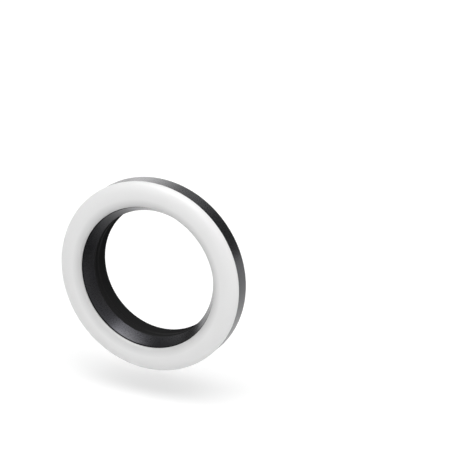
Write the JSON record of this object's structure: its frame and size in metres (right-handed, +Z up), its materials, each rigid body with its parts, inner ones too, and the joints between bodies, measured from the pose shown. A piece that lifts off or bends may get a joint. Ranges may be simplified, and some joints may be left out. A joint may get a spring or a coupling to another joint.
{
  "type": "led ring light",
  "caption": "Slim round LED ring light with a white diffuser and black rim, held by magnets on a threaded adapter that turns on a camera lens.",
  "frame": {"origin": "centre of the plane where the adapter's flange meets the lens, at the root of its male thread", "axes": "+Y along the ring's axis towards the lens, the light shines towards -Y, +Z up, +X to the right seen from the front"},
  "size_m": [0.0943, 0.019, 0.094],
  "materials": {
    "opal_polycarbonate": "satin, moulded",
    "black_anodised_aluminium": "fine blasted, black anodised",
    "black_screw_steel": "black oxide",
    "keeper_steel": "turned",
    "spring_steel": "oiled",
    "magnet_nickel": "plated",
    "socket_steel": "drawn",
    "black_moulding": "moulded",
    "button_plastic": "fine texture",
    "clear_acrylic": "clear",
    "circuit_board": "solder mask",
    "led_board_mask": "white solder mask",
    "warm_led_package": "phosphor",
    "cool_led_package": "phosphor",
    "chip_ceramic": "fired",
    "moulded_ferrite": "pressed",
    "white_film": "satin",
    "adhesive_tape": "tape",
    "grey_foam": "foam",
    "pouch_foil": "foil",
    "nickel_strip": "rolled",
    "polyimide_film": "film",
    "solder": "reflowed",
    "gold_plate": "plated"
  },
  "bodies": {
    "adapter": {"lens_adapter": "black_anodised_aluminium", "snap_ring": "spring_steel"},
    "turntable": {"magnet_ring": "black_anodised_aluminium", "magnets": "magnet_nickel"},
    "light": {"diffuser": "opal_polycarbonate", "housing": "black_anodised_aluminium", "rear_cover": "black_anodised_aluminium", "rear_cover_screws": "black_screw_steel", "keeper_tape": "adhesive_tape", "keeper_ring": "keeper_steel", "led_board": "led_board_mask", "thermal_tape": "adhesive_tape", "warm_leds": "warm_led_package", "cool_leds": "cool_led_package", "reflector_sheet": "white_film", "link_pins": "gold_plate", "control_board": "circuit_board", "control_board_screws": "black_screw_steel", "controller_chip": "black_moulding", "driver_chip": "black_moulding", "charger_chip": "black_moulding", "inductor": "moulded_ferrite", "capacitors": "chip_ceramic", "resistors": "chip_ceramic", "usb_socket_shell": "socket_steel", "usb_socket_tongue": "black_moulding", "power_switch": "black_moulding", "minus_switch": "black_moulding", "plus_switch": "black_moulding", "level_leds": "cool_led_package", "level_light_pipes": "clear_acrylic", "cell_pads": "grey_foam", "cell_boards": "circuit_board", "cell_tabs": "nickel_strip", "battery_flex": "polyimide_film", "solder_joints": "solder", "battery_cell_1": "pouch_foil", "battery_cell_2": "pouch_foil", "battery_cell_3": "pouch_foil", "battery_cell_4": "pouch_foil"},
    "power_key": {"power_button": "button_plastic", "power_plunger": "button_plastic"},
    "minus_key": {"minus_button": "button_plastic", "minus_plunger": "button_plastic"},
    "plus_key": {"plus_button": "button_plastic", "plus_plunger": "button_plastic"}
  },
  "joints": [
    {"name": "swivel", "type": "hinge", "parent": "adapter", "child": "turntable", "pos_m": [0, -0.00115, 0], "axis": [0, -1, 0], "continuous": true},
    {"name": "pull_off", "type": "slide", "parent": "turntable", "child": "light", "axis": [0, -1, 0], "range_m": [0, 0.02]},
    {"name": "power_press", "type": "slide", "parent": "light", "child": "power_key", "axis": [1, 0, 0], "range_m": [0, 0.0003], "stiffness_N_per_m": 1500, "springref_m": -0.0005},
    {"name": "minus_press", "type": "slide", "parent": "light", "child": "minus_key", "axis": [0.9659, 0, 0.2588], "range_m": [0, 0.0003], "stiffness_N_per_m": 1500, "springref_m": -0.0005},
    {"name": "plus_press", "type": "slide", "parent": "light", "child": "plus_key", "axis": [0.866, 0, 0.5], "range_m": [0, 0.0003], "stiffness_N_per_m": 1500, "springref_m": -0.0005}
  ]
}
